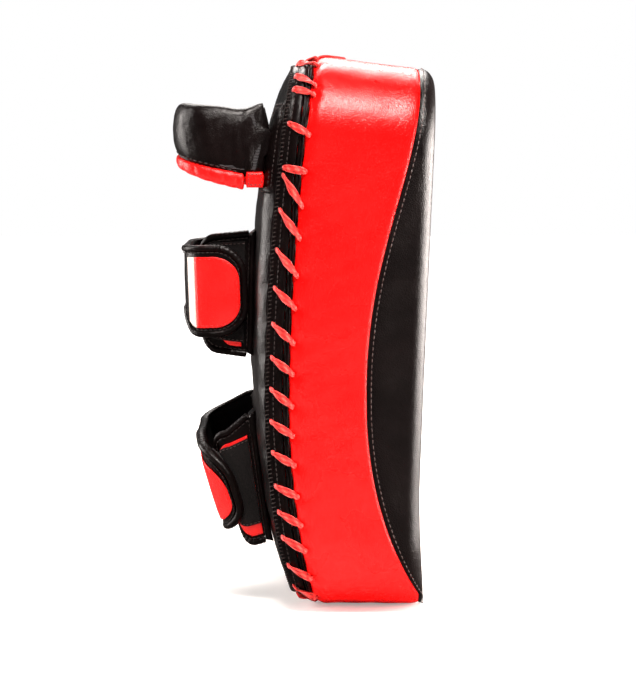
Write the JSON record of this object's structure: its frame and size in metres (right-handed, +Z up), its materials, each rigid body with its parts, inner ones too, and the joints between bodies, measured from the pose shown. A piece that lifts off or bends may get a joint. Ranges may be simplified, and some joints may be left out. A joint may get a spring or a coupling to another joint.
{
  "type": "thai pad",
  "caption": "Curved foam strike pad in laced leather, with a padded hand loop and two forearm straps that close with hook-and-loop flaps.",
  "frame": {"origin": "under the middle of the bounding box, on the surface the pad stands on", "axes": "+Z up along the pad, +X out of the strike face, the straps on the -X side"},
  "size_m": [0.1866, 0.2, 0.4014],
  "materials": {
    "red_leather": "satin",
    "black_leather": "satin",
    "foam": "matt",
    "lace": "matt",
    "webbing": "matt",
    "tape": "matt",
    "label": "satin"
  },
  "bodies": {
    "block": {"strike_panel": "black_leather", "side_wall": "red_leather", "lacing_welt": "black_leather", "lacing_band": "black_leather", "back_panel": "black_leather", "foam_back": "foam", "foam_core": "foam", "foam_front": "foam", "lace": "lace", "handle_near_anchor": "black_leather", "handle_far_anchor": "black_leather", "upper_near_foot": "black_leather", "upper_far_foot": "black_leather", "lower_near_foot": "black_leather", "lower_far_foot": "black_leather"},
    "hand_loop": {"handle_grip": "black_leather", "handle_core": "webbing", "handle_binding": "red_leather", "handle_near_tab": "red_leather", "handle_far_tab": "red_leather"},
    "upper_band": {"upper_band": "black_leather"},
    "upper_flap": {"upper_flap": "black_leather", "upper_flap_rim": "black_leather", "upper_flap_panel": "red_leather", "upper_label": "label", "upper_hook_tape": "tape"},
    "upper_tongue": {"upper_tongue": "black_leather", "upper_tongue_rim": "black_leather", "upper_tongue_panel": "red_leather", "upper_loop_tape": "tape"},
    "lower_band": {"lower_band": "black_leather"},
    "lower_flap": {"lower_flap": "black_leather", "lower_flap_rim": "black_leather", "lower_flap_panel": "red_leather", "lower_label": "label", "lower_hook_tape": "tape"},
    "lower_tongue": {"lower_tongue": "black_leather", "lower_tongue_rim": "black_leather", "lower_tongue_panel": "red_leather", "lower_loop_tape": "tape"}
  },
  "joints": [
    {"name": "handle_rock", "type": "hinge", "parent": "block", "child": "hand_loop", "pos_m": [-0.031, 0, 0.336], "axis": [0, 1, 0], "range_deg": [-8, 8], "stiffness_Nm_per_rad": 2.5},
    {"name": "upper_band_swing", "type": "hinge", "parent": "block", "child": "upper_band", "pos_m": [-0.04261, 0.062, 0.23194], "axis": [0.0349, 0, -0.9994], "range_deg": [0, 50]},
    {"name": "upper_flap_peel", "type": "hinge", "parent": "upper_band", "child": "upper_flap", "pos_m": [-0.08703, -0.03321, 0.23039], "axis": [0.0349, 0, -0.9994], "range_deg": [0, 90]},
    {"name": "upper_tongue_fold", "type": "hinge", "parent": "block", "child": "upper_tongue", "pos_m": [-0.04408, -0.04865, 0.23189], "axis": [0.0349, 0, -0.9994], "range_deg": [0, 30]},
    {"name": "lower_band_swing", "type": "hinge", "parent": "block", "child": "lower_band", "pos_m": [-0.04, 0.062, 0.09395], "axis": [0.2924, 0, -0.9563], "range_deg": [0, 50]},
    {"name": "lower_flap_peel", "type": "hinge", "parent": "lower_band", "child": "lower_flap", "pos_m": [-0.06742, -0.01703, 0.08556], "axis": [0.2924, 0, -0.9563], "range_deg": [0, 90]},
    {"name": "lower_tongue_fold", "type": "hinge", "parent": "block", "child": "lower_tongue", "pos_m": [-0.04266, -0.04865, 0.09313], "axis": [0.2924, 0, -0.9563], "range_deg": [0, 30]}
  ]
}
